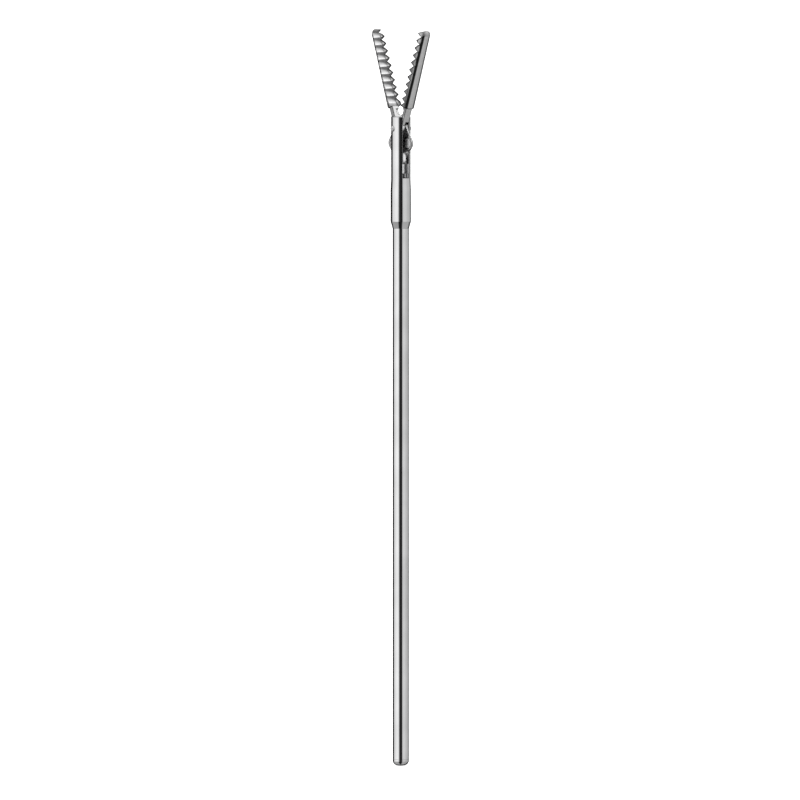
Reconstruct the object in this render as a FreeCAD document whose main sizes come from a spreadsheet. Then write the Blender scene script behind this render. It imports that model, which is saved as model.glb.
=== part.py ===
import FreeCAD, Part

import math
import os

import Sketcher

# Grasping forceps insert: a slim tube with a slotted head, two toothed jaws on one
# pivot, and a pull rod that works both jaws through two links.
# X is the way the jaws open, Y is the pivot's axis, and +Z points to the jaws' tips.
# The origin is the middle of the shaft's rear end. The jaws are drawn fully open.

# Sizes in millimetres and degrees, with what each one is.
SIZES = [
    ("shaft_length", "132.0", "rear end to the seat of the head"),
    ("shaft_radius", "2.0", "outside of the tube"),
    ("shaft_bore_radius", "1.5", "inside of the tube"),
    ("running_gap", "0.03", "radial clearance of a turning or sliding fit"),
    ("plate_gap", "0.04", "flat clearance between plates in the slot"),
    ("end_flange", "1.6", "end plug, height of its flange"),
    ("end_round", "1.15", "end plug, rounding of its rim"),
    ("plug_spigot", "4.0", "end plug, depth pressed into the tube"),
    ("seal_length", "0.7", "seal ring, height"),
    ("rear_bush_length", "4.0", "rear bush in the tube"),
    ("rod_radius", "0.8", "pull rod"),
    ("rod_spigot_radius", "0.5", "pull rod, turned down front end"),
    ("rod_spigot", "1.8", "pull rod, length of that end"),
    ("rod_tap_radius", "0.4", "pull rod, tapped hole in its rear end"),
    ("rod_tap_depth", "4.0", "pull rod, depth of that hole"),
    ("guide_length", "3.0", "guide ring on the rod"),
    ("head_radius", "2.5", "solid part of the head"),
    ("head_spigot", "6.0", "head, depth pressed into the tube"),
    ("shoulder", "1.7", "head, height of the cone above the tube"),
    ("head_full", "9.3", "head, top of its full diameter above the seat"),
    ("head_ease", "2.6", "head, length over which it narrows to the arms"),
    ("arm_radius", "2.375", "outside of the two arms"),
    ("arm_rise", "3.1", "head, top of the arms above the pivot"),
    ("arm_edge", "0.25", "bevel on the ends of the arms"),
    ("head_bore_radius", "1.4", "head, bore for the pull rod"),
    ("bore_past", "7.2", "head, end of that bore above the slot's floor"),
    ("front_bush_length", "5.0", "front bush in the head"),
    ("bush_depth", "1.1", "front bush, upper end below the slot's floor"),
    ("slot_width", "1.8", "head, slot between the arms"),
    ("slot_drop", "12.0", "head, floor of the slot below the pivot"),
    ("pivot_height", "24.3", "jaw pivot above the seat"),
    ("pivot_radius", "0.7", "pivot pin"),
    ("pivot_proud", "0.3", "pivot pin, rivet head beyond each arm"),
    ("pivot_dome", "0.2", "pivot pin, bevel of its riveted ends"),
    ("half_open", "24.0", "angle of each jaw when fully open"),
    ("hub_radius", "2.0", "jaw, round hub on the pivot"),
    ("jaw_base", "6.1", "jaw, pivot to the start of the toothed part"),
    ("jaw_reach", "26.7", "jaw, pivot to the tip"),
    ("jaw_base_radius", "1.92", "jaw, round back at the base"),
    ("jaw_tip_radius", "1.55", "jaw, round back at the tip"),
    ("jaw_half", "1.5", "jaw, middle to each flat side"),
    ("tooth_pitch", "1.93", "tooth to tooth"),
    ("tooth_depth", "1.42", "point of a tooth to its root"),
    ("tooth_point", "0.48", "points of the teeth past the middle of the closed jaws"),
    ("knee_side", "0.25", "ridge of a tooth, from the middle, where its point starts"),
    ("knee_place", "0.77", "that knee, from the jaw's centre line"),
    ("bite_gap", "0.12", "points of the teeth to the other jaw's low ridges"),
    ("side_past", "0.4", "how far a tooth's form is carried past the flat sides"),
    ("tooth_slope", "0.82", "share of the pitch that the long flank takes"),
    ("tooth_first", "5.97", "jaw, pivot to the first tooth tip"),
    ("nose_bare", "0.5", "jaw, end of the tip that no new tooth starts in"),
    ("shank_back", "1.4", "jaw, back of the shank from the middle"),
    ("shank_gap", "0.05", "half the gap between closed shanks"),
    ("hub_clear", "0.3", "shank above the other jaw's hub"),
    ("relief_low", "3.9", "shank, lower end of the relief in its front"),
    ("relief_height", "1.4", "shank, height of that relief"),
    ("relief_depth", "0.4", "shank, depth of that relief"),
    ("relief_start", "0.1", "shank, jaw's centre line to that relief"),
    ("tail_arm", "4.58", "jaw, pivot to the tail pin"),
    ("tail_angle", "16.1", "jaw, lean of the tail when closed"),
    ("tail_radius", "1.8", "jaw, round end of the tail"),
    ("tail_plate", "0.4", "jaw, thickness of the thinned tail"),
    ("tail_step", "3.0", "jaw, pivot to the step down to the thinned tail"),
    ("port_radius", "3.0", "closed jaws pass a port of this radius"),
    ("tail_pin_radius", "0.6", "tail pin"),
    ("tail_head_radius", "1.25", "tail pin, flat head"),
    ("tail_head", "0.2", "tail pin, thickness of that head"),
    ("link_length", "4.6", "tail pin to rod pin"),
    ("link_top_radius", "1.3", "link, end on the tail pin"),
    ("link_foot_radius", "1.0", "link, end on the rod pin"),
    ("rod_pin_radius", "0.45", "rod pin"),
    ("foot_play", "0.17", "link, radial play on the rod pin"),
    ("tongue_half", "1.65", "rod tongue, half its width"),
    ("tongue_above", "1.75", "rod tongue, top above the rod pin"),
    ("tongue_below", "1.5", "rod tongue, foot below the rod pin"),
    ("tongue_round", "0.9", "rod tongue, rounding of its corners"),
    ("collar_radius", "1.2", "rod tongue, collar that takes the rod"),
    ("collar_length", "2.4", "rod tongue, length of that collar"),
    ("neck_radius", "1.3", "jaw, end of the full plate towards the tail"),
    ("shank_root", "0.6", "jaw, depth of the shank inside the toothed part"),
    ("overcut", "3.0", "how far a cut runs past what it cuts"),
]

# Sizes that follow from the ones above.
DERIVED = [
    ("pivot_place", "=shaft_length + pivot_height"),
    ("plate_full", "=(slot_width - 3 * plate_gap) / 2"),
    ("layer_start", "=plate_gap / 2"),
    ("link_start", "=layer_start + tail_plate + plate_gap"),
    ("link_plate", "=plate_full + layer_start - link_start"),
    ("tongue_plate", "=2 * (link_start - plate_gap)"),
    ("open_lean", "=tail_angle + half_open"),
    ("tail_out", "=tail_arm * sin(open_lean)"),
    ("tail_drop", "=tail_arm * cos(open_lean)"),
    ("link_lean", "=asin(tail_out / link_length)"),
    ("rod_drop", "=tail_drop + link_length * cos(link_lean)"),
    ("rod_pin_place", "=pivot_place - rod_drop"),
    ("tail_side", "=tail_arm * sin(tail_angle)"),
    ("tail_down", "=tail_arm * cos(tail_angle)"),
    ("tooth_half", "=tooth_pitch / 2"),
    ("root_side", "=tooth_depth - tooth_point"),
    ("low_side", "=tooth_point + bite_gap"),
    ("side_cut", "=jaw_half + side_past"),
    ("point_rise", "=(tooth_point + knee_side) / (jaw_half - knee_place)"),
    ("point_cut", "=tooth_point + side_past * point_rise"),
    ("ridge_fall", "=(low_side - knee_side) / (jaw_half + knee_place)"),
    ("low_cut", "=low_side + side_past * ridge_fall"),
    ("mouth", "=point_cut + overcut"),
    ("past_jaw", "=jaw_reach + overcut"),
    ("face_length", "=past_jaw - jaw_base"),
    ("hub_top", "=hub_radius + hub_clear"),
    ("tongue_top", "=rod_pin_place + tongue_above"),
    ("tongue_foot", "=rod_pin_place - tongue_below"),
    ("collar_foot", "=tongue_foot - collar_length"),
    ("slot_floor_place", "=pivot_place - slot_drop"),
    ("front_bush_place", "=slot_floor_place - bush_depth - front_bush_length"),
    ("seal_place", "=end_flange + plug_spigot"),
    ("rear_bush_place", "=seal_place + seal_length"),
    ("guide_front", "=shaft_length * 2 / 3"),
    ("guide_rear", "=shaft_length / 3"),
    ("tube_length", "=shaft_length - end_flange"),
    ("rod_hole_radius", "=rod_radius + running_gap"),
    ("guide_radius", "=shaft_bore_radius - running_gap"),
    ("pivot_hole_radius", "=pivot_radius + running_gap"),
    ("link_hole_radius", "=tail_pin_radius + running_gap"),
    ("foot_hole_radius", "=rod_pin_radius + foot_play"),
    ("head_foot", "=shaft_length - head_spigot"),
    ("head_bore_length", "=slot_floor_place + bore_past - head_foot"),
    ("shoulder_place", "=shaft_length + shoulder"),
    ("head_full_place", "=shaft_length + head_full"),
    ("head_ease_place", "=head_full_place + head_ease"),
    ("arm_top_place", "=pivot_place + arm_rise"),
    ("arm_bevel_place", "=arm_top_place - arm_edge"),
    ("arm_bevel_radius", "=arm_radius - arm_edge"),
    ("slot_half", "=slot_width / 2"),
    ("past_top", "=arm_top_place + overcut"),
    ("pivot_start", "=arm_radius + pivot_proud"),
    ("pivot_length", "=2 * pivot_start"),
    ("rod_pin_start", "=link_start + link_plate"),
    ("rod_pin_length", "=2 * rod_pin_start"),
    ("shank_width", "=2 * (layer_start + plate_full)"),
    ("relief_top", "=relief_low + relief_height"),
    ("relief_floor", "=shank_gap + relief_depth"),
    ("shank_top", "=jaw_base + shank_root"),
    ("neck_reach", "=tail_step - neck_radius"),
    ("neck_side", "=neck_reach * sin(tail_angle)"),
    ("neck_down", "=neck_reach * cos(tail_angle)"),
    ("past_side", "=port_radius + overcut"),
    ("past_tail", "=tail_arm + tail_radius + overcut"),
    ("ball_place", "=jaw_reach - jaw_tip_radius"),
    ("tooth_root", "=tooth_pitch * tooth_slope"),
    ("tooth_second", "=tooth_first + tooth_half"),
    ("teeth_right", "=floor((jaw_reach - nose_bare - tooth_first) / tooth_pitch) + 1"),
    ("teeth_left", "=floor((jaw_reach - nose_bare - tooth_second) / tooth_pitch) + 1"),
]

BAD_STATES = ("Invalid", "Error")
NEAR = 1e-4

doc = FreeCAD.newDocument("GraspingForceps")
sheet = doc.addObject("Spreadsheet::Sheet", "Sizes")
for row, entry in enumerate(SIZES + DERIVED, start=1):
    sheet.set("A%d" % row, entry[1])
    sheet.setAlias("A%d" % row, entry[0])
    if len(entry) > 2:
        sheet.set("B%d" % row, entry[2])
doc.recompute()

ORIGIN = FreeCAD.Vector(0, 0, 0)
OPENING = FreeCAD.Vector(1, 0, 0)
CROSSWISE = FreeCAD.Vector(0, 1, 0)
FORWARD = FreeCAD.Vector(0, 0, 1)


def size(name):
    """The value of a named size; a leading minus turns its sign."""
    if name == 0:
        return 0.0
    if name.startswith("-"):
        return -float(sheet.get(name[1:]))
    return float(sheet.get(name))


def cell(name):
    """The same size, as an expression."""
    if name.startswith("-"):
        return "-Sizes." + name[1:]
    return "Sizes." + name


def new_body(name):
    body = doc.addObject("PartDesign::Body", name)
    body.Label = name
    return body


def new_sketch(body, name, plane, shift=None, along="z"):
    """A sketch on one of the body's own planes, moved by a named size."""
    sketch = body.newObject("Sketcher::SketchObject", name)
    support = [item for item in body.Origin.OriginFeatures if item.Role == plane][0]
    sketch.AttachmentSupport = [(support, "")]
    sketch.MapMode = "FlatFace"
    if shift:
        sketch.setExpression("AttachmentOffset.Base." + along, cell(shift))
    return sketch


def hold(sketch, kind, part, end, value):
    """Ties one coordinate of a point to a named size, or to zero."""
    index = sketch.addConstraint(Sketcher.Constraint(kind, -1, 1, part, end, size(value)))
    if value != 0:
        sketch.setExpression("Constraints[%d]" % index, cell(value))


def hold_point(sketch, part, end, across, up):
    hold(sketch, "DistanceX", part, end, across)
    hold(sketch, "DistanceY", part, end, up)


def vector(across, up):
    return FreeCAD.Vector(size(across), size(up), 0)


def outline(sketch, points):
    """A closed outline of straight lines through points given as named sizes."""
    lines = []
    for start, end in zip(points, points[1:] + points[:1]):
        lines.append(sketch.addGeometry(Part.LineSegment(vector(*start), vector(*end)), False))
    for here, after in zip(lines, lines[1:] + lines[:1]):
        sketch.addConstraint(Sketcher.Constraint("Coincident", here, 2, after, 1))
    for line, point in zip(lines, points):
        hold_point(sketch, line, 1, *point)


def circle(sketch, radius, across=0, up=0):
    ring = sketch.addGeometry(Part.Circle(vector(across, up), FORWARD, size(radius)), False)
    hold_point(sketch, ring, 3, across, up)
    index = sketch.addConstraint(Sketcher.Constraint("Radius", ring, size(radius)))
    sketch.setExpression("Constraints[%d]" % index, cell(radius))


def strap(sketch, first, first_radius, second, second_radius):
    """Two round ends joined by the straight lines that touch both."""
    near = vector(*first)
    far = vector(*second)
    along = far - near
    turn = math.atan2(along.y, along.x)
    lean = math.acos((size(first_radius) - size(second_radius)) / along.Length)
    ends = []
    for centre, radius, begin, stop in (
        (near, first_radius, turn + lean, turn - lean + 2 * math.pi),
        (far, second_radius, turn - lean, turn + lean),
    ):
        round_end = Part.Circle(centre, FORWARD, size(radius))
        ends.append(sketch.addGeometry(Part.ArcOfCircle(round_end, begin, stop), False))
    sides = []
    for angle in (turn - lean, turn + lean):
        out = FreeCAD.Vector(math.cos(angle), math.sin(angle), 0)
        start = near + out * size(first_radius)
        stop = far + out * size(second_radius)
        sides.append(sketch.addGeometry(Part.LineSegment(start, stop), False))
    joints = (
        (ends[0], 2, sides[0], 1),
        (sides[0], 2, ends[1], 1),
        (ends[1], 2, sides[1], 2),
        (sides[1], 1, ends[0], 1),
    )
    for joint in joints:
        sketch.addConstraint(Sketcher.Constraint("Tangent", *joint))
    for part, centre, radius in ((ends[0], first, first_radius), (ends[1], second, second_radius)):
        hold_point(sketch, part, 3, *centre)
        index = sketch.addConstraint(Sketcher.Constraint("Radius", part, size(radius)))
        sketch.setExpression("Constraints[%d]" % index, cell(radius))


def pad(body, sketch, length, both_ways=False):
    """Raises the sketch by a named length, to one side or evenly to both."""
    feature = body.newObject("PartDesign::Pad", sketch.Name + "_pad")
    feature.Profile = sketch
    feature.setExpression("Length", cell(length))
    if both_ways:
        feature.SideType = "Symmetric"
    doc.recompute()
    return feature


def remove(body, sketch, both_ways, length=None):
    """Cuts the sketch out of the body, and makes sure that it cut something."""
    before = body.Shape.Volume
    feature = body.newObject("PartDesign::Pocket", sketch.Name + "_cut")
    feature.Profile = sketch
    if both_ways:
        feature.SideType = "Symmetric"
    if length:
        feature.setExpression("Length", cell(length))
        feature.Reversed = True
    else:
        feature.Type = "ThroughAll"
    doc.recompute()
    if not body.Shape.Volume < before:
        raise RuntimeError(sketch.Name + " cuts nothing")
    return feature


def cut(body, sketch):
    """Cuts right through, both ways."""
    return remove(body, sketch, True)


def pocket(body, sketch, length):
    """Cuts to a named depth, the way the sketch faces."""
    return remove(body, sketch, False, length)


def turn(body, sketch):
    """Turns a half outline about the sketch's upright axis."""
    feature = body.newObject("PartDesign::Revolution", sketch.Name + "_turn")
    feature.Profile = sketch
    feature.ReferenceAxis = (sketch, ["V_Axis"])
    feature.Angle = 360.0
    doc.recompute()
    return feature


def soften(body, kind, setting, amount, picks):
    """Rounds or bevels the edges of the last feature that picks chooses."""
    base = body.Tip
    names = ["Edge%d" % (n + 1) for n, edge in enumerate(base.Shape.Edges) if picks(edge)]
    feature = body.newObject(kind, base.Name + "_soft")
    feature.Base = (base, names)
    feature.setExpression(setting, cell(amount))
    doc.recompute()
    return feature


def shaft_tube():
    """The long tube, cut square at both ends."""
    body = new_body("shaft_tube")
    sketch = new_sketch(body, "TubeRing", "XY_Plane", "end_flange")
    circle(sketch, "shaft_radius")
    circle(sketch, "shaft_bore_radius")
    pad(body, sketch, "tube_length")
    return body


def end_plug():
    """The rounded plug that closes the rear of the tube round the pull rod."""
    body = new_body("end_plug")
    flange = new_sketch(body, "PlugFlange", "XY_Plane")
    circle(flange, "shaft_radius")
    pad(body, flange, "end_flange")
    spigot = new_sketch(body, "PlugSpigot", "XY_Plane", "end_flange")
    circle(spigot, "shaft_bore_radius")
    pad(body, spigot, "plug_spigot")
    hole = new_sketch(body, "PlugHole", "XY_Plane")
    circle(hole, "rod_hole_radius")
    cut(body, hole)
    soften(body, "PartDesign::Fillet", "Radius", "end_round", rim_at(size("shaft_radius"), 0.0))
    return body


def bush(name, outer, inner, length, place):
    """A plain ring or sleeve on the shaft's centre line."""
    body = new_body(name)
    sketch = new_sketch(body, name + "_ring", "XY_Plane", place)
    circle(sketch, outer)
    circle(sketch, inner)
    pad(body, sketch, length)
    return body


def head():
    """The turned and slotted head, with its two arms and the rod's bore."""
    body = new_body("head")
    profile = new_sketch(body, "HeadProfile", "XZ_Plane")
    outline(profile, [
        (0, "head_foot"),
        ("shaft_bore_radius", "head_foot"),
        ("shaft_bore_radius", "shaft_length"),
        ("shaft_radius", "shaft_length"),
        ("head_radius", "shoulder_place"),
        ("head_radius", "head_full_place"),
        ("arm_radius", "head_ease_place"),
        ("arm_radius", "arm_bevel_place"),
        ("arm_bevel_radius", "arm_top_place"),
        (0, "arm_top_place"),
    ])
    turn(body, profile)
    bore = new_sketch(body, "HeadBore", "XY_Plane", "head_foot")
    circle(bore, "head_bore_radius")
    pocket(body, bore, "head_bore_length")
    slot = new_sketch(body, "HeadSlot", "YZ_Plane")
    outline(slot, [
        ("-slot_half", "slot_floor_place"),
        ("slot_half", "slot_floor_place"),
        ("slot_half", "past_top"),
        ("-slot_half", "past_top"),
    ])
    cut(body, slot)
    pin_hole = new_sketch(body, "HeadPinHole", "XZ_Plane")
    circle(pin_hole, "pivot_radius", 0, "pivot_place")
    cut(body, pin_hole)
    return body


def round_pin(name, radius, length, start, dome=None):
    """A pin along the pivot's direction, with bevelled ends where it is riveted."""
    body = new_body(name)
    sketch = new_sketch(body, name + "_end", "XZ_Plane", start)
    circle(sketch, radius)
    pad(body, sketch, length)
    if dome:
        soften(body, "PartDesign::Chamfer", "Size", dome, lambda edge: hasattr(edge.Curve, "Radius"))
    return body


def tail_pin(name):
    """The rivet that joins a jaw's tail to its link, with a flat head let into the tail."""
    body = round_pin(name, "tail_pin_radius", "plate_full", "layer_start")
    flat_head = new_sketch(body, name + "_head", "XZ_Plane", "layer_start")
    circle(flat_head, "tail_head_radius")
    pad(body, flat_head, "tail_head")
    return body


def jaw(name, first_tooth, teeth):
    """One jaw, upright and closed, with its pivot at the origin and its back towards +X."""
    body = new_body(name)
    blank = new_sketch(body, name + "_blank", "XZ_Plane")
    half_bullet(blank)
    turn(body, blank)
    sides = new_sketch(body, name + "_sides", "YZ_Plane")
    for inner, outer in (("jaw_half", "past_side"), ("-past_side", "-jaw_half")):
        outline(sides, [(inner, 0), (outer, 0), (outer, "past_jaw"), (inner, "past_jaw")])
    cut(body, sides)
    shank = new_sketch(body, name + "_shank", "XZ_Plane")
    outline(shank, [
        ("shank_gap", "hub_top"),
        ("shank_back", "hub_top"),
        ("shank_back", "shank_top"),
        ("shank_gap", "shank_top"),
    ])
    pad(body, shank, "shank_width", both_ways=True)
    plate = new_sketch(body, name + "_plate", "XZ_Plane", "layer_start")
    outline(plate, [
        ("shank_gap", 0),
        ("shank_back", 0),
        ("shank_back", "shank_top"),
        ("shank_gap", "shank_top"),
    ])
    pad(body, plate, "plate_full")
    relief = new_sketch(body, name + "_relief", "XZ_Plane", "relief_start")
    outline(relief, [
        ("-past_side", "relief_low"),
        ("relief_floor", "relief_low"),
        ("relief_floor", "relief_top"),
        ("-past_side", "relief_top"),
    ])
    pocket(body, relief, "shank_width")
    hub = new_sketch(body, name + "_hub", "XZ_Plane", "layer_start")
    circle(hub, "hub_radius")
    pad(body, hub, "plate_full")
    neck = new_sketch(body, name + "_neck", "XZ_Plane", "layer_start")
    strap(neck, (0, 0), "hub_radius", ("-neck_side", "-neck_down"), "neck_radius")
    pad(body, neck, "plate_full")
    tail = new_sketch(body, name + "_tail", "XZ_Plane", "layer_start")
    strap(tail, (0, 0), "hub_radius", ("-tail_side", "-tail_down"), "tail_radius")
    pad(body, tail, "tail_plate")
    trim = new_sketch(body, name + "_trim", "XZ_Plane")
    outline(trim, [
        ("-past_side", "-past_tail"),
        ("-port_radius", "-past_tail"),
        ("-port_radius", 0),
        ("-past_side", 0),
    ])
    cut(body, trim)
    pivot_hole = new_sketch(body, name + "_pivot_hole", "XZ_Plane")
    circle(pivot_hole, "pivot_hole_radius")
    cut(body, pivot_hole)
    tail_hole = new_sketch(body, name + "_tail_hole", "XZ_Plane")
    circle(tail_hole, "tail_pin_radius", "-tail_side", "-tail_down")
    cut(body, tail_hole)
    recess = new_sketch(body, name + "_recess", "XZ_Plane", "layer_start")
    circle(recess, "tail_head_radius", "-tail_side", "-tail_down")
    pocket(body, recess, "tail_head")
    face = new_sketch(body, name + "_face", "XY_Plane", "jaw_base")
    outline(face, [
        ("-past_side", "-side_cut"),
        ("-point_cut", "-side_cut"),
        ("knee_side", "-knee_place"),
        ("low_cut", "side_cut"),
        ("-past_side", "side_cut"),
    ])
    pocket(body, face, "face_length")
    first = notch(body, name, first_tooth)
    rows = body.newObject("PartDesign::LinearPattern", name + "_teeth")
    rows.Originals = [first]
    rows.Direction = (first.Profile[0], ["V_Axis"])
    rows.setExpression("Length", "Sizes.tooth_pitch * (%s - 1)" % cell(teeth))
    rows.setExpression("Occurrences", cell(teeth))
    body.Tip = rows
    doc.recompute()
    return body


def notch(body, name, first_tooth):
    """The first gap between two teeth, deep at the pointed side and shallow at the other."""
    forms = []
    for part, across, ridge in (
        ("_point", "side_cut", "-point_cut"),
        ("_knee", "knee_place", "knee_side"),
        ("_low", "-side_cut", "low_cut"),
    ):
        form = new_sketch(body, name + part, "XZ_Plane", across)
        form.setExpression("AttachmentOffset.Base.y", cell(first_tooth))
        outline(form, [
            ("-mouth", 0),
            (ridge, 0),
            ("root_side", "tooth_root"),
            (ridge, "tooth_pitch"),
            ("-mouth", "tooth_pitch"),
        ])
        forms.append(form)
    feature = body.newObject("PartDesign::SubtractiveLoft", name + "_notch")
    feature.Profile = forms[0]
    feature.Sections = forms[1:]
    feature.Ruled = True
    doc.recompute()
    return feature


def half_bullet(sketch):
    """Half the outline of a jaw's blank: a slim cone with a ball end."""
    foot = FreeCAD.Vector(0, size("jaw_base"), 0)
    side = FreeCAD.Vector(size("jaw_base_radius"), size("jaw_base"), 0)
    ball = FreeCAD.Vector(0, size("ball_place"), 0)
    rim = ball + OPENING * size("jaw_tip_radius")
    tip = FreeCAD.Vector(0, size("jaw_reach"), 0)
    base_line = sketch.addGeometry(Part.LineSegment(foot, side), False)
    side_line = sketch.addGeometry(Part.LineSegment(side, rim), False)
    arc = Part.ArcOfCircle(Part.Circle(ball, FORWARD, size("jaw_tip_radius")), 0, math.pi / 2)
    ball_end = sketch.addGeometry(arc, False)
    middle_line = sketch.addGeometry(Part.LineSegment(tip, foot), False)
    chain = ((base_line, 2, side_line, 1), (side_line, 2, ball_end, 1),
             (ball_end, 2, middle_line, 1), (middle_line, 2, base_line, 1))
    for joint in chain:
        sketch.addConstraint(Sketcher.Constraint("Coincident", *joint))
    hold_point(sketch, base_line, 1, 0, "jaw_base")
    hold_point(sketch, side_line, 1, "jaw_base_radius", "jaw_base")
    hold_point(sketch, ball_end, 3, 0, "ball_place")
    hold_point(sketch, ball_end, 1, "jaw_tip_radius", "ball_place")
    hold(sketch, "DistanceX", middle_line, 1, 0)


def link(name):
    """The flat link from a tail pin, at the origin, down to the rod pin."""
    body = new_body(name)
    bar = new_sketch(body, name + "_bar", "XZ_Plane", "link_start")
    strap(bar, (0, 0), "link_top_radius", (0, "-link_length"), "link_foot_radius")
    pad(body, bar, "link_plate")
    holes = new_sketch(body, name + "_holes", "XZ_Plane")
    circle(holes, "link_hole_radius")
    circle(holes, "foot_hole_radius", 0, "-link_length")
    cut(body, holes)
    return body


def rod_tongue():
    """The flat end of the pull rod between the links, with the collar that takes the rod."""
    body = new_body("rod_tongue")
    plate = new_sketch(body, "TonguePlate", "XZ_Plane")
    outline(plate, [
        ("-tongue_half", "tongue_foot"),
        ("tongue_half", "tongue_foot"),
        ("tongue_half", "tongue_top"),
        ("-tongue_half", "tongue_top"),
    ])
    pad(body, plate, "tongue_plate", both_ways=True)
    soften(body, "PartDesign::Fillet", "Radius", "tongue_round", lambda edge: is_crosswise(edge))
    collar = new_sketch(body, "TongueCollar", "XY_Plane", "collar_foot")
    circle(collar, "collar_radius")
    pad(body, collar, "collar_length")
    socket = new_sketch(body, "TongueSocket", "XY_Plane", "collar_foot")
    circle(socket, "rod_spigot_radius")
    pocket(body, socket, "rod_spigot")
    pin_hole = new_sketch(body, "TonguePinHole", "XZ_Plane")
    circle(pin_hole, "rod_pin_radius", 0, "rod_pin_place")
    cut(body, pin_hole)
    return body


def pull_rod():
    """The rod that runs the length of the tube, tapped at its rear end."""
    body = new_body("pull_rod")
    bar = new_sketch(body, "RodBar", "XY_Plane")
    circle(bar, "rod_radius")
    pad(body, bar, "collar_foot")
    spigot = new_sketch(body, "RodSpigot", "XY_Plane", "collar_foot")
    circle(spigot, "rod_spigot_radius")
    pad(body, spigot, "rod_spigot")
    tap = new_sketch(body, "RodTap", "XY_Plane")
    circle(tap, "rod_tap_radius")
    pocket(body, tap, "rod_tap_depth")
    return body


def is_crosswise(edge):
    """True for a straight edge along the pivot's direction."""
    if not isinstance(edge.Curve, (Part.Line, Part.LineSegment)):
        return False
    return abs(edge.tangentAt(edge.FirstParameter).dot(CROSSWISE)) > 0.99


def rim_at(radius, place):
    """Picks the round edge of this radius at this height."""
    def picks(edge):
        if not hasattr(edge.Curve, "Radius"):
            return False
        same_size = abs(edge.Curve.Radius - radius) < NEAR
        return same_size and abs(edge.Curve.Center.z - place) < NEAR
    return picks


def place(thing, height, half_turn, lean, across=0.0, drop=0.0):
    """Leans a piece in the plane of the jaws, then turns it to its side of the shaft."""
    side = FreeCAD.Rotation(FORWARD, 180.0 if half_turn else 0.0)
    stand = FreeCAD.Placement(FORWARD * height, side)
    local = FreeCAD.Vector(across, 0, drop)
    thing.Placement = stand * FreeCAD.Placement(local, FreeCAD.Rotation(CROSSWISE, lean))


def jaw_side(side, first_tooth, half_turn):
    """A jaw with its tail pin and its link, leaned to the open position."""
    height = size("pivot_place")
    lean = size("half_open")
    toothed = jaw("jaw_" + side, first_tooth, "teeth_" + side)
    place(toothed, height, half_turn, lean)
    rivet = tail_pin("tail_pin_" + side)
    place(rivet, height, half_turn, lean, -size("tail_out"), -size("tail_drop"))
    bar = link("link_" + side)
    place(bar, height, half_turn, -size("link_lean"), -size("tail_out"), -size("tail_drop"))
    return [toothed, rivet, bar]


pieces = [
    shaft_tube(),
    end_plug(),
    bush("seal_ring", "guide_radius", "rod_hole_radius", "seal_length", "seal_place"),
    bush("rear_bush", "shaft_bore_radius", "rod_hole_radius", "rear_bush_length", "rear_bush_place"),
    bush("front_bush", "head_bore_radius", "rod_hole_radius", "front_bush_length", "front_bush_place"),
    head(),
]
pivot_pin = round_pin("pivot_pin", "pivot_radius", "pivot_length", "-pivot_start", "pivot_dome")
place(pivot_pin, size("pivot_place"), False, 0.0)
rod_pin = round_pin("rod_pin", "rod_pin_radius", "rod_pin_length", "-rod_pin_start")
place(rod_pin, size("rod_pin_place"), False, 0.0)
pieces += [pivot_pin, rod_pin, rod_tongue(), pull_rod()]
for name, start in (("rod_guide_rear", "guide_rear"), ("rod_guide_front", "guide_front")):
    pieces.append(bush(name, "guide_radius", "rod_radius", "guide_length", start))
pieces += jaw_side("right", "tooth_first", False)
pieces += jaw_side("left", "tooth_second", True)

doc.recompute()
for item in doc.Objects:
    if any(state in BAD_STATES for state in item.State):
        raise RuntimeError("%s did not build: %s" % (item.Name, item.State))
for piece in pieces:
    if piece.Shape.isNull() or not piece.Shape.isValid():
        raise RuntimeError(piece.Label + " is not a valid solid")
    if len(piece.Shape.Solids) != 1:
        raise RuntimeError(piece.Label + " is not one solid")

os.makedirs("parts", exist_ok=True)
for piece in pieces:
    piece.Shape.exportStep("parts/%s.step" % piece.Label)
    print(piece.Label, round(piece.Shape.Volume, 4))
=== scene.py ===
import math

import bpy
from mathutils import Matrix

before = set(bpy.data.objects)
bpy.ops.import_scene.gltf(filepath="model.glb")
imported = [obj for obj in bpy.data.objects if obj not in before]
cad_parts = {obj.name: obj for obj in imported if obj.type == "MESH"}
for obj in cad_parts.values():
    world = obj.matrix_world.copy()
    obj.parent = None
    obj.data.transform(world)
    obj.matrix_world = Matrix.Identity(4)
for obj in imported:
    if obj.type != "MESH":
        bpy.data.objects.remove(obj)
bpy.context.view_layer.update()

# Shaft tube. A thin-walled stainless tube, centreless ground and then polished to a
# mirror, so its finish is even all round with only the finest lines left round it.
TUBE_TONE = (0.60, 0.67)
TUBE_SHINE = (0.06, 0.10)
TUBE_LINES = (260.0, 260.0, 5200.0)
TUBE_LINE_DEPTH = 0.0000003
STEEL_BLUE = 1.005
STEEL_CLOUDS = 160.0
STEEL_CLOUD_STEPS = (0.35, 0.65)
STEEL_LINE_STEPS = (0.3, 0.7)
# Painted shade along the edges of the steel parts: a dark colour standing in for the dark
# surroundings that the edges reflect.
EDGE_PAINTED_SHADE = (0.06, 0.06, 0.062, 1.0)
EDGE_TURN = (0.995, 0.95)
EDGE_SAMPLES = 6


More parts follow.
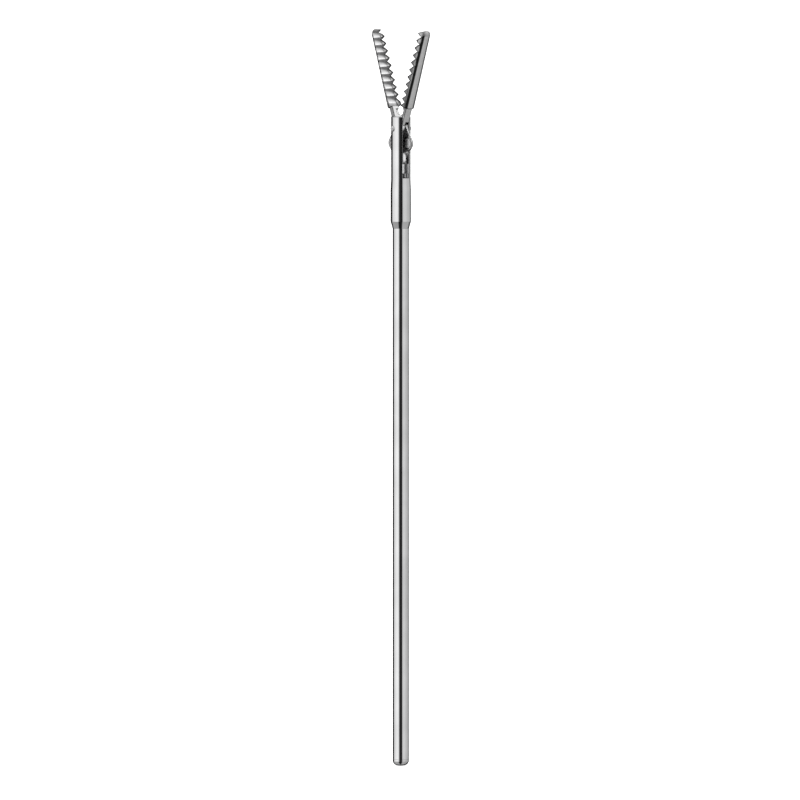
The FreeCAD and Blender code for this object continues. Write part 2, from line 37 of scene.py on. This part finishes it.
def steel(finish_name, tones, shine, lines, line_depth, edge=0.0):
    """Stainless steel: slow changes of tone, fine tool lines, and painted shade along the edges,
    a dark colour standing in for the dark surroundings they reflect.
    """
    finish = bpy.data.materials.new(finish_name)
    finish.use_nodes = True
    tree = finish.node_tree
    surface = tree.nodes["Principled BSDF"]
    surface.inputs["Metallic"].default_value = 1.0
    place = tree.nodes.new("ShaderNodeTexCoord")
    tool_way = tree.nodes.new("ShaderNodeMapping")
    tool_way.inputs["Scale"].default_value = lines
    tool_lines = tree.nodes.new("ShaderNodeTexNoise")
    tool_lines.inputs["Scale"].default_value = 1.0
    tool_lines.inputs["Detail"].default_value = 3.0
    clouds = tree.nodes.new("ShaderNodeTexNoise")
    clouds.inputs["Scale"].default_value = STEEL_CLOUDS
    clouds.inputs["Detail"].default_value = 2.0
    tone = tree.nodes.new("ShaderNodeValToRGB")
    for number, shade in enumerate(tones):
        tone.color_ramp.elements[number].position = STEEL_CLOUD_STEPS[number]
        tone.color_ramp.elements[number].color = (shade, shade, shade * STEEL_BLUE, 1.0)
    rough = tree.nodes.new("ShaderNodeMapRange")
    rough.inputs["From Min"].default_value = STEEL_LINE_STEPS[0]
    rough.inputs["From Max"].default_value = STEEL_LINE_STEPS[1]
    rough.inputs["To Min"].default_value = shine[0]
    rough.inputs["To Max"].default_value = shine[1]
    scratch = tree.nodes.new("ShaderNodeBump")
    scratch.inputs["Strength"].default_value = 1.0
    scratch.inputs["Distance"].default_value = line_depth
    tree.links.new(place.outputs["Object"], tool_way.inputs["Vector"])
    tree.links.new(tool_way.outputs["Vector"], tool_lines.inputs["Vector"])
    tree.links.new(place.outputs["Object"], clouds.inputs["Vector"])
    tree.links.new(clouds.outputs["Fac"], tone.inputs["Fac"])
    tree.links.new(tool_lines.outputs["Fac"], rough.inputs["Value"])
    tree.links.new(rough.outputs["Result"], surface.inputs["Roughness"])
    tree.links.new(tool_lines.outputs["Fac"], scratch.inputs["Height"])
    tree.links.new(scratch.outputs["Normal"], surface.inputs["Normal"])
    if edge:
        rounded = tree.nodes.new("ShaderNodeBevel")
        rounded.samples = EDGE_SAMPLES
        rounded.inputs["Radius"].default_value = edge
        tree.links.new(rounded.outputs["Normal"], scratch.inputs["Normal"])
        flat = tree.nodes.new("ShaderNodeNewGeometry")
        same = tree.nodes.new("ShaderNodeVectorMath")
        same.operation = "DOT_PRODUCT"
        tree.links.new(rounded.outputs["Normal"], same.inputs[0])
        tree.links.new(flat.outputs["Normal"], same.inputs[1])
        # Where the painted edge shade goes: 1 where the rounded normal turns away from the flat
        # one, 0 on the flat.
        edge_shade_mask = tree.nodes.new("ShaderNodeMapRange")
        edge_shade_mask.inputs["From Min"].default_value = EDGE_TURN[0]
        edge_shade_mask.inputs["From Max"].default_value = EDGE_TURN[1]
        tree.links.new(same.outputs["Value"], edge_shade_mask.inputs["Value"])
        # Painted shade: the dark edge colour is mixed into the base colour along the edges, in
        # place of their dark reflections.
        painted_shading = tree.nodes.new("ShaderNodeMix")
        painted_shading.data_type = "RGBA"
        painted_shading.inputs["B"].default_value = EDGE_PAINTED_SHADE
        tree.links.new(edge_shade_mask.outputs["Result"], painted_shading.inputs["Factor"])
        tree.links.new(tone.outputs["Color"], painted_shading.inputs["A"])
        tree.links.new(painted_shading.outputs["Result"], surface.inputs["Base Color"])
    else:
        tree.links.new(tone.outputs["Color"], surface.inputs["Base Color"])
    return finish


def finish_node(node_name, finish):
    """Gives one carried-over solid its finish."""
    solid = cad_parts[node_name]
    for slot in solid.material_slots:
        slot.material = finish


tube_polished = steel("tube_polished", TUBE_TONE, TUBE_SHINE, TUBE_LINES, TUBE_LINE_DEPTH)
finish_node("shaft_tube", tube_polished)

# End plug. The short turned cap that closes the rear of the tube and holds the seal. It is
# stainless bar, turned and polished, with faint rings from the tool.
PLUG_TONE = (0.56, 0.66)
PLUG_SHINE = (0.10, 0.18)
PLUG_EDGE = 0.00012
PLUG_LINES = (300.0, 300.0, 9000.0)
PLUG_LINE_DEPTH = 0.0000006
plug_turned = steel("plug_turned", PLUG_TONE, PLUG_SHINE, PLUG_LINES, PLUG_LINE_DEPTH, PLUG_EDGE)
finish_node("end_plug", plug_turned)

# Seal ring. A small ring of black silicone rubber in the plug, pressed round the pull rod.
# It is moulded, matt, and very slightly dusty.
RUBBER_DARK = (0.018, 0.018, 0.019, 1.0)
RUBBER_PALE = (0.045, 0.045, 0.046, 1.0)
RUBBER_ROUGH = 0.72
RUBBER_DUST = 2400.0
RUBBER_SKIN_DEPTH = 0.000004
rubber = bpy.data.materials.new("seal_rubber_black")
rubber.use_nodes = True
rubber_tree = rubber.node_tree
rubber_surface = rubber_tree.nodes["Principled BSDF"]
rubber_surface.inputs["Roughness"].default_value = RUBBER_ROUGH
rubber_place = rubber_tree.nodes.new("ShaderNodeTexCoord")
rubber_dust = rubber_tree.nodes.new("ShaderNodeTexNoise")
rubber_dust.inputs["Scale"].default_value = RUBBER_DUST
rubber_dust.inputs["Detail"].default_value = 4.0
rubber_tone = rubber_tree.nodes.new("ShaderNodeValToRGB")
rubber_tone.color_ramp.elements[0].color = RUBBER_DARK
rubber_tone.color_ramp.elements[1].color = RUBBER_PALE
rubber_skin = rubber_tree.nodes.new("ShaderNodeBump")
rubber_skin.inputs["Distance"].default_value = RUBBER_SKIN_DEPTH
rubber_tree.links.new(rubber_place.outputs["Object"], rubber_dust.inputs["Vector"])
rubber_tree.links.new(rubber_dust.outputs["Fac"], rubber_tone.inputs["Fac"])
rubber_tree.links.new(rubber_tone.outputs["Color"], rubber_surface.inputs["Base Color"])
rubber_tree.links.new(rubber_dust.outputs["Fac"], rubber_skin.inputs["Height"])
rubber_tree.links.new(rubber_skin.outputs["Normal"], rubber_surface.inputs["Normal"])
finish_node("seal_ring", rubber)

# Bushes and rod guides. Four plain white fluoropolymer rings that the pull rod slides in:
# two pressed into the plug and the head, two clipped on the rod. Turned from rod stock.
BUSH_WHITE = (0.86, 0.85, 0.81, 1.0)
BUSH_SHADE = (0.76, 0.75, 0.71, 1.0)
BUSH_RINGS = (500.0, 500.0, 7000.0)
BUSH_SHINE = (0.34, 0.5)
polymer = bpy.data.materials.new("bush_fluoropolymer")
polymer.use_nodes = True
polymer_tree = polymer.node_tree
polymer_surface = polymer_tree.nodes["Principled BSDF"]
polymer_place = polymer_tree.nodes.new("ShaderNodeTexCoord")
polymer_way = polymer_tree.nodes.new("ShaderNodeMapping")
polymer_way.inputs["Scale"].default_value = BUSH_RINGS
polymer_rings = polymer_tree.nodes.new("ShaderNodeTexNoise")
polymer_rings.inputs["Scale"].default_value = 1.0
polymer_rings.inputs["Detail"].default_value = 3.0
polymer_tone = polymer_tree.nodes.new("ShaderNodeValToRGB")
polymer_tone.color_ramp.elements[0].color = BUSH_SHADE
polymer_tone.color_ramp.elements[1].color = BUSH_WHITE
polymer_rough = polymer_tree.nodes.new("ShaderNodeMapRange")
polymer_rough.inputs["To Min"].default_value = BUSH_SHINE[0]
polymer_rough.inputs["To Max"].default_value = BUSH_SHINE[1]
polymer_tree.links.new(polymer_place.outputs["Object"], polymer_way.inputs["Vector"])
polymer_tree.links.new(polymer_way.outputs["Vector"], polymer_rings.inputs["Vector"])
polymer_tree.links.new(polymer_rings.outputs["Fac"], polymer_tone.inputs["Fac"])
polymer_tree.links.new(polymer_tone.outputs["Color"], polymer_surface.inputs["Base Color"])
polymer_tree.links.new(polymer_rings.outputs["Fac"], polymer_rough.inputs["Value"])
polymer_tree.links.new(polymer_rough.outputs["Result"], polymer_surface.inputs["Roughness"])
for bush_name in ("rear_bush", "front_bush", "rod_guide_rear", "rod_guide_front"):
    finish_node(bush_name, polymer)

# Head. The slotted fork at the front, turned from stainless bar, milled for the slot and
# polished outside with the tube, to which it is laser welded.
HEAD_TONE = (0.60, 0.67)
HEAD_SHINE = (0.06, 0.10)
HEAD_EDGE = 0.00015
HEAD_LINES = (260.0, 260.0, 5200.0)
HEAD_LINE_DEPTH = 0.0000003
head_polished = steel(
    "head_polished", HEAD_TONE, HEAD_SHINE, HEAD_LINES, HEAD_LINE_DEPTH, HEAD_EDGE,
)
finish_node("head", head_polished)

# Pull rod. A drawn stainless wire down the middle of the tube, with fine lines along it
# from the die.
ROD_TONE = (0.50, 0.60)
ROD_SHINE = (0.14, 0.26)
ROD_LINES = (6000.0, 6000.0, 120.0)
ROD_LINE_DEPTH = 0.0000008
rod_drawn = steel("rod_drawn", ROD_TONE, ROD_SHINE, ROD_LINES, ROD_LINE_DEPTH)
finish_node("pull_rod", rod_drawn)

# Rod tongue. The flat blade welded on the front of the rod, that carries the link pin. It is
# cut from sheet and ground flat along its length.
TONGUE_TONE = (0.82, 0.92)
TONGUE_SHINE = (0.22, 0.34)
TONGUE_EDGE = 0.00015
TONGUE_LINES = (3000.0, 3000.0, 160.0)
TONGUE_LINE_DEPTH = 0.000001
tongue_ground = steel(
    "tongue_ground", TONGUE_TONE, TONGUE_SHINE, TONGUE_LINES, TONGUE_LINE_DEPTH, TONGUE_EDGE,
)
finish_node("rod_tongue", tongue_ground)

# Links. Two small stamped stainless plates from the tongue to the tails of the jaws,
# tumbled to a satin finish.
LINK_TONE = (0.82, 0.92)
LINK_SHINE = (0.24, 0.38)
LINK_EDGE = 0.0002
LINK_LINES = (2600.0, 2600.0, 2600.0)
LINK_LINE_DEPTH = 0.000001
link_satin = steel("link_satin", LINK_TONE, LINK_SHINE, LINK_LINES, LINK_LINE_DEPTH, LINK_EDGE)
for link_name in ("link_right", "link_left"):
    finish_node(link_name, link_satin)

# Pins. The pivot pin through the fork, the rod pin and the two tail pins, all hard
# stainless wire, riveted over, so their heads are satin with turned rings.
PIN_TONE = (0.80, 0.92)
PIN_SHINE = (0.34, 0.46)
PIN_EDGE = 0.00018
PIN_LINES = (4200.0, 300.0, 4200.0)
PIN_LINE_DEPTH = 0.000001
pin_riveted = steel("pin_riveted", PIN_TONE, PIN_SHINE, PIN_LINES, PIN_LINE_DEPTH, PIN_EDGE)
for pin_name in ("pivot_pin", "rod_pin", "tail_pin_right", "tail_pin_left"):
    finish_node(pin_name, pin_riveted)

# Jaws. Two half-round stainless jaws with crosswise teeth, spark-eroded and ground. Their
# backs are polished and their sides are satin. Their colour carries painted light: a painted
# highlight on the ridges of the teeth, painted shade down in the gaps and on the points past
# the knee, painted shade on the flat sides and the nose, and painted shade along the edges.
PIVOT_HEIGHT = 0.1563
JAW_TILT = math.radians(24.0)
JAW_FOOT = 0.00609
NOSE_START = 0.0253
TOOTH_PITCH = 0.00193
FIRST_RIDGE_RIGHT = 0.00597
FIRST_RIDGE_LEFT = FIRST_RIDGE_RIGHT + TOOTH_PITCH / 2
JAW_KNEE = (0.00096, 0.00108)
BITE_FACE = (0.04, 0.14)
SIDE_FACE = (0.93, 0.985)
JAW_BACK_TONE = 0.66
JAW_BACK_SHINE = 0.11
# Painted shade on the flat sides: they are coloured darker than the polished back, standing in
# for the shade they show.
JAW_SIDE_PAINTED_SHADE = 0.42
JAW_SIDE_SHINE = 0.5
JAW_TOOTH_SHINE = 0.36
# Painted light along each tooth, from the ridge (0) to the gap: a bright painted highlight at the
# ridge and painted shade down in the gap.
RIDGE_TO_GAP_PAINTED_LIGHT = (
    (0.00, 0.90), (0.12, 0.80), (0.32, 0.62), (0.55, 0.46), (0.76, 0.34), (0.84, 0.44),
    (0.98, 0.50),
)
# Painted shade on the points of the teeth past the knee: the same run from ridge to gap, but
# darker.
POINT_PAINTED_SHADE = ((0.00, 0.16), (0.20, 0.40), (0.70, 0.50), (0.80, 0.50), (0.86, 0.34))
# Painted shade on the nose: coloured darker than the back of the jaw, standing in for the darker
# reflection there.
NOSE_PAINTED_SHADE = 0.46
NOSE_SHINE = 0.42
# Share of the painted edge shade that the nose gets.
NOSE_OUTLINE = 0.4
SHANK_TONE = 0.60
SHANK_SHINE = 0.26
SHANK_EDGE = 0.0003
JAW_EDGE = 0.00058
# Painted shade along the jaw edges: the dark colour laid on them, standing in for the dark
# surroundings they reflect.
JAW_EDGE_PAINTED_SHADE = 0.03
JAW_EDGE_TURN = (0.995, 0.965)
TOOTH_EDGE_TURN = (0.08, 0.18)
JAW_GRAIN = 1500.0
JAW_GRAIN_TONE = (0.8, 1.2)
JAW_GRAIN_DEPTH = 0.000001


def fill_ramp(ramp, steps, blue=1.0):
    """Sets a grey colour ramp to pairs of a place and a tone."""
    stops = ramp.color_ramp.elements
    stops.remove(stops[-1])
    for number, (step, tone) in enumerate(steps):
        stop = stops[0] if number == 0 else stops.new(step)
        stop.position = step
        stop.color = (tone, tone, tone * blue, 1.0)


def jaw_mask(tree, value, limits):
    """0 up to the first limit and 1 from the second on, with a slope between."""
    mask = tree.nodes.new("ShaderNodeMapRange")
    mask.inputs["From Min"].default_value = limits[0]
    mask.inputs["From Max"].default_value = limits[1]
    tree.links.new(value, mask.inputs["Value"])
    return mask.outputs["Result"]


def jaw_number(tree, mask, off, on):
    """One fixed number where the mask is 0, and another where it is 1."""
    number = tree.nodes.new("ShaderNodeMapRange")
    number.inputs["To Min"].default_value = off
    number.inputs["To Max"].default_value = on
    tree.links.new(mask, number.inputs["Value"])
    return number.outputs["Result"]


def jaw_sum(tree, kind, *values):
    """One Math node on links and fixed numbers."""
    node = tree.nodes.new("ShaderNodeMath")
    node.operation = kind
    for number, value in enumerate(values):
        if isinstance(value, float):
            node.inputs[number].default_value = value
        else:
            tree.links.new(value, node.inputs[number])
    return node.outputs["Value"]


def jaw_blend(tree, kind, mask, off, on):
    """Off where the mask is 0, and on where it is 1; each is a link, a number or a colour."""
    node = tree.nodes.new("ShaderNodeMix")
    node.data_type = kind
    tree.links.new(mask, node.inputs["Factor"])
    for name, value in (("A", off), ("B", on)):
        if isinstance(value, (float, tuple)):
            node.inputs[name].default_value = value
        else:
            tree.links.new(value, node.inputs[name])
    return node.outputs["Result"]


for jaw_name, jaw_way, first_ridge in (
    ("jaw_right", -1.0, FIRST_RIDGE_RIGHT),
    ("jaw_left", 1.0, FIRST_RIDGE_LEFT),
):
    jaw = bpy.data.materials.new(jaw_name + "_ground")
    jaw.use_nodes = True
    tree = jaw.node_tree
    surface = tree.nodes["Principled BSDF"]
    surface.inputs["Metallic"].default_value = 1.0

    # Places and faces as the jaw itself has them: Z along it from the first ridge.
    jaw_turn = jaw_way * JAW_TILT
    place = tree.nodes.new("ShaderNodeTexCoord")
    along = tree.nodes.new("ShaderNodeMapping")
    along.inputs["Rotation"].default_value = (0.0, jaw_turn, 0.0)
    along.inputs["Location"].default_value = (
        -PIVOT_HEIGHT * math.sin(jaw_turn), 0.0, -PIVOT_HEIGHT * math.cos(jaw_turn) - first_ridge,
    )
    tree.links.new(place.outputs["Object"], along.inputs["Vector"])
    jaw_place = tree.nodes.new("ShaderNodeSeparateXYZ")
    tree.links.new(along.outputs["Vector"], jaw_place.inputs["Vector"])
    facing = tree.nodes.new("ShaderNodeMapping")
    facing.vector_type = "VECTOR"
    facing.inputs["Rotation"].default_value = (0.0, jaw_turn, 0.0)
    tree.links.new(place.outputs["Normal"], facing.inputs["Vector"])
    jaw_face = tree.nodes.new("ShaderNodeSeparateXYZ")
    tree.links.new(facing.outputs["Vector"], jaw_face.inputs["Vector"])

    # Which part of the jaw this is: shank or toothed part, nose, biting face, flat side.
    toothed = jaw_sum(tree, "GREATER_THAN", jaw_place.outputs["Z"], JAW_FOOT - first_ridge)
    below_nose = jaw_sum(tree, "LESS_THAN", jaw_place.outputs["Z"], NOSE_START - first_ridge)
    bite = jaw_mask(tree, jaw_face.outputs["X"], [jaw_way * limit for limit in BITE_FACE])
    bitten = jaw_sum(tree, "MULTIPLY", bite, below_nose)
    sideways = jaw_sum(tree, "ABSOLUTE", jaw_face.outputs["Y"])
    flat_side = jaw_mask(tree, sideways, SIDE_FACE)

    # Teeth: a painted highlight on the ridges and painted shade in the gaps, and painted shade on
    # the points past the knee.
    row = jaw_sum(tree, "DIVIDE", jaw_place.outputs["Z"], TOOTH_PITCH)
    tooth = jaw_sum(tree, "FRACT", row)
    # Painted highlight and shade of the teeth: one ramp for the middle of the biting face, one
    # for the points past the knee.
    painted_shading = []
    for steps in (RIDGE_TO_GAP_PAINTED_LIGHT, POINT_PAINTED_SHADE):
        painted_tooth_ramp = tree.nodes.new("ShaderNodeValToRGB")
        fill_ramp(painted_tooth_ramp, steps, STEEL_BLUE)
        tree.links.new(tooth, painted_tooth_ramp.inputs["Fac"])
        painted_shading.append(painted_tooth_ramp.outputs["Color"])
    # Past the knee the points get the darker painted shade.
    point = jaw_mask(tree, jaw_place.outputs["Y"], [jaw_way * limit for limit in JAW_KNEE])
    teeth = jaw_blend(tree, "RGBA", point, painted_shading[0], painted_shading[1])

    # Tones of all the parts, with painted shade on the flat sides and the nose, under a fine
    # ground grain.
    back_tone = jaw_number(tree, below_nose, NOSE_PAINTED_SHADE, JAW_BACK_TONE)
    side_painted_shade = (JAW_SIDE_PAINTED_SHADE, JAW_SIDE_PAINTED_SHADE, JAW_SIDE_PAINTED_SHADE, 1.0)
    shank_tone = (SHANK_TONE, SHANK_TONE, SHANK_TONE, 1.0)
    back_or_bite = jaw_blend(tree, "RGBA", bitten, back_tone, teeth)
    or_side = jaw_blend(tree, "RGBA", flat_side, back_or_bite, side_painted_shade)
    or_shank = jaw_blend(tree, "RGBA", toothed, shank_tone, or_side)
    grain = tree.nodes.new("ShaderNodeTexNoise")
    grain.inputs["Scale"].default_value = JAW_GRAIN
    grain.inputs["Detail"].default_value = 4.0
    tree.links.new(along.outputs["Vector"], grain.inputs["Vector"])
    grained = tree.nodes.new("ShaderNodeMix")
    grained.data_type = "RGBA"
    grained.blend_type = "MULTIPLY"
    grained.inputs["Factor"].default_value = 1.0
    tree.links.new(or_shank, grained.inputs["A"])
    tree.links.new(
        jaw_number(tree, grain.outputs["Fac"], *JAW_GRAIN_TONE), grained.inputs["B"],
    )

    # Painted shade along the edges: a dark colour standing in for their dark reflections, laid
    # where a rounded normal turns from the flat one. On the biting face only the outer edges get
    # it, so the ridges of the teeth keep their painted highlight.
    edge = tree.nodes.new("ShaderNodeBevel")
    edge.samples = EDGE_SAMPLES
    edge_width = jaw_blend(tree, "FLOAT", toothed, SHANK_EDGE, JAW_EDGE)
    tree.links.new(edge_width, edge.inputs["Radius"])
    flat = tree.nodes.new("ShaderNodeNewGeometry")
    turns = []
    for kind in ("DOT_PRODUCT", "SUBTRACT"):
        turn = tree.nodes.new("ShaderNodeVectorMath")
        turn.operation = kind
        tree.links.new(edge.outputs["Normal"], turn.inputs[0])
        tree.links.new(flat.outputs["Normal"], turn.inputs[1])
        turns.append(turn)
    any_edge = jaw_mask(tree, turns[0].outputs["Value"], JAW_EDGE_TURN)
    turn_way = tree.nodes.new("ShaderNodeSeparateXYZ")
    tree.links.new(turns[1].outputs["Vector"], turn_way.inputs["Vector"])
    turn_side = jaw_sum(tree, "ABSOLUTE", turn_way.outputs["Y"])
    side_edge = jaw_mask(tree, turn_side, TOOTH_EDGE_TURN)
    on_teeth = jaw_sum(tree, "MULTIPLY", toothed, bitten)
    edges = jaw_blend(tree, "FLOAT", on_teeth, any_edge, side_edge)
    nose_edge = jaw_number(tree, below_nose, NOSE_OUTLINE, 1.0)
    outline = jaw_sum(tree, "MULTIPLY", edges, nose_edge)
    # Painted shade: the dark colour mixed into the base colour along the edges.
    painted_edge_colour = (JAW_EDGE_PAINTED_SHADE, JAW_EDGE_PAINTED_SHADE, JAW_EDGE_PAINTED_SHADE, 1.0)
    outlined = jaw_blend(tree, "RGBA", outline, grained.outputs["Result"], painted_edge_colour)
    tree.links.new(outlined, surface.inputs["Base Color"])

    # Roughness of the same parts, and the grain as a very fine bump.
    bite_shine = tree.nodes.new("ShaderNodeMapRange")
    bite_shine.inputs["To Max"].default_value = JAW_TOOTH_SHINE
    back_shine = jaw_number(tree, below_nose, NOSE_SHINE, JAW_BACK_SHINE)
    tree.links.new(back_shine, bite_shine.inputs["To Min"])
    tree.links.new(bitten, bite_shine.inputs["Value"])
    side_shine = jaw_blend(
        tree, "FLOAT", flat_side, bite_shine.outputs["Result"], JAW_SIDE_SHINE,
    )
    shine = jaw_blend(tree, "FLOAT", toothed, SHANK_SHINE, side_shine)
    tree.links.new(shine, surface.inputs["Roughness"])
    texture = tree.nodes.new("ShaderNodeBump")
    texture.inputs["Strength"].default_value = 1.0
    texture.inputs["Distance"].default_value = JAW_GRAIN_DEPTH
    tree.links.new(grain.outputs["Fac"], texture.inputs["Height"])
    tree.links.new(texture.outputs["Normal"], surface.inputs["Normal"])
    finish_node(jaw_name, jaw)

# Studio. A camera at the photograph's angle, a pale light table as the floor, and a plain
# white tent all round that the polished steel reflects. Its front is open where the lens
# looks in, its right side is dimmer than its left, and its ceiling is bright.
CAMERA_AZIMUTH = math.radians(57.0)
CAMERA_ELEVATION = math.radians(4.5)
CAMERA_DISTANCE = 1.35
FRAME_HEIGHT = 0.1956
AIM_HEIGHT = 0.0900
AXIS_OFFSET_PX = 0.8
IMAGE_PX = 800.0
SENSOR_WIDTH = 36.0
NEAREST = 0.01
FARTHEST = 300.0
TABLE_SIZE = 160.0
TABLE_DROP = 0.0002
TABLE_TONE = (0.9, 0.9, 0.9, 1.0)
TABLE_ROUGH = 0.9
TABLE_GLOW = (1.0, 1.0, 1.0, 1.0)
TABLE_GLOW_POWER = 0.8

camera_data = bpy.data.cameras.new("studio_camera")
camera = bpy.data.objects.new("studio_camera", camera_data)
bpy.context.scene.collection.objects.link(camera)
camera_data.sensor_width = SENSOR_WIDTH
camera_data.lens = camera_data.sensor_width * CAMERA_DISTANCE / FRAME_HEIGHT
camera_data.shift_x = -AXIS_OFFSET_PX / IMAGE_PX
camera_data.dof.use_dof = False
camera_data.clip_start = NEAREST
camera_data.clip_end = FARTHEST
camera.rotation_euler = (math.pi / 2 - CAMERA_ELEVATION, 0.0, CAMERA_AZIMUTH)
camera.location = (
    math.sin(CAMERA_AZIMUTH) * math.cos(CAMERA_ELEVATION) * CAMERA_DISTANCE,
    -math.cos(CAMERA_AZIMUTH) * math.cos(CAMERA_ELEVATION) * CAMERA_DISTANCE,
    math.sin(CAMERA_ELEVATION) * CAMERA_DISTANCE + AIM_HEIGHT,
)
bpy.context.scene.camera = camera
bpy.context.scene.view_settings.view_transform = "Standard"

bpy.ops.object.select_all(action="DESELECT")
bpy.ops.mesh.primitive_plane_add(size=TABLE_SIZE, location=(0.0, 0.0, -TABLE_DROP))
floor = bpy.context.object
floor.name = "light_table"
table = bpy.data.materials.new("light_table")
table.use_nodes = True
table_surface = table.node_tree.nodes["Principled BSDF"]
table_surface.inputs["Base Color"].default_value = TABLE_TONE
table_surface.inputs["Roughness"].default_value = TABLE_ROUGH
table_surface.inputs["Emission Color"].default_value = TABLE_GLOW
table_surface.inputs["Emission Strength"].default_value = TABLE_GLOW_POWER
floor.data.materials.append(table)
floor.visible_glossy = False

# Brightness round the tent, by the angle from the lens towards the right-hand side. Each
# pair is an angle in degrees and a share of the tent's power: first at the height of the
# lens, then looking down, then at the ceiling.
TENT_POWER = 1.4
TENT_LEVEL = (
    (-180.0, 0.005), (-120.0, 0.005), (-107.0, 0.50), (-97.0, 0.79), (-76.0, 0.82),
    (-60.0, 0.94), (-40.0, 0.93), (-30.0, 0.80), (-20.0, 0.09), (-11.0, 0.03), (8.0, 0.005),
    (15.0, 0.006), (28.0, 0.66), (60.0, 0.66), (90.0, 0.52), (112.0, 0.50), (126.0, 0.30),
    (150.0, 0.03),
)
TENT_LOW = (
    (-180.0, 0.01), (-130.0, 0.06), (-112.0, 0.38), (-36.0, 0.36), (-27.0, 0.01),
    (14.0, 0.01), (26.0, 0.44), (108.0, 0.40), (122.0, 0.05), (180.0, 0.01),
)
TENT_CEILING = (
    (-180.0, 0.20), (-140.0, 0.20), (-110.0, 0.80), (-60.0, 0.80), (-30.0, 0.50),
    (20.0, 0.50), (45.0, 1.0), (115.0, 1.0), (140.0, 0.20), (180.0, 0.20),
)
LOW_HEIGHTS = (-0.22, -0.36)
CEILING_HEIGHTS = (0.26, 0.5)
BACKGROUND_TONE = (1.0, 1.0, 1.0, 1.0)
BACKGROUND_POWER = 1.0

tent = bpy.data.worlds.new("studio")
bpy.context.scene.world = tent
tent.use_nodes = True
tent_nodes = tent.node_tree.nodes
tent_links = tent.node_tree.links
tent_nodes.clear()
where = tent_nodes.new("ShaderNodeTexCoord")
turned = tent_nodes.new("ShaderNodeMapping")
turned.vector_type = "POINT"
turned.inputs["Rotation"].default_value = (0.0, 0.0, math.pi / 2 - CAMERA_AZIMUTH)
around = tent_nodes.new("ShaderNodeTexGradient")
around.gradient_type = "RADIAL"
tent_links.new(where.outputs["Generated"], turned.inputs["Vector"])
tent_links.new(turned.outputs["Vector"], around.inputs["Vector"])
rings = []
for shares in (TENT_LEVEL, TENT_LOW, TENT_CEILING):
    ring = tent_nodes.new("ShaderNodeValToRGB")
    fill_ramp(ring, [((angle + 180.0) / 360.0, share) for angle, share in shares])
    tent_links.new(around.outputs["Fac"], ring.inputs["Fac"])
    rings.append(ring)
height = tent_nodes.new("ShaderNodeSeparateXYZ")
tent_links.new(where.outputs["Generated"], height.inputs["Vector"])
wall = rings[0].outputs["Color"]
for ring, heights in ((rings[1], LOW_HEIGHTS), (rings[2], CEILING_HEIGHTS)):
    blend = tent_nodes.new("ShaderNodeMapRange")
    blend.interpolation_type = "SMOOTHSTEP"
    blend.inputs["From Min"].default_value = heights[0]
    blend.inputs["From Max"].default_value = heights[1]
    tent_links.new(height.outputs["Z"], blend.inputs["Value"])
    joined = tent_nodes.new("ShaderNodeMix")
    joined.data_type = "RGBA"
    tent_links.new(blend.outputs["Result"], joined.inputs["Factor"])
    tent_links.new(wall, joined.inputs["A"])
    tent_links.new(ring.outputs["Color"], joined.inputs["B"])
    wall = joined.outputs["Result"]
room = tent_nodes.new("ShaderNodeBackground")
room.inputs["Strength"].default_value = TENT_POWER
tent_links.new(wall, room.inputs["Color"])
plain = tent_nodes.new("ShaderNodeBackground")
plain.inputs["Color"].default_value = BACKGROUND_TONE
plain.inputs["Strength"].default_value = BACKGROUND_POWER
ray = tent_nodes.new("ShaderNodeLightPath")
either = tent_nodes.new("ShaderNodeMixShader")
result = tent_nodes.new("ShaderNodeOutputWorld")
tent_links.new(ray.outputs["Is Camera Ray"], either.inputs["Fac"])
tent_links.new(room.outputs["Background"], either.inputs[1])
tent_links.new(plain.outputs["Background"], either.inputs[2])
tent_links.new(either.outputs["Shader"], result.inputs["Surface"])
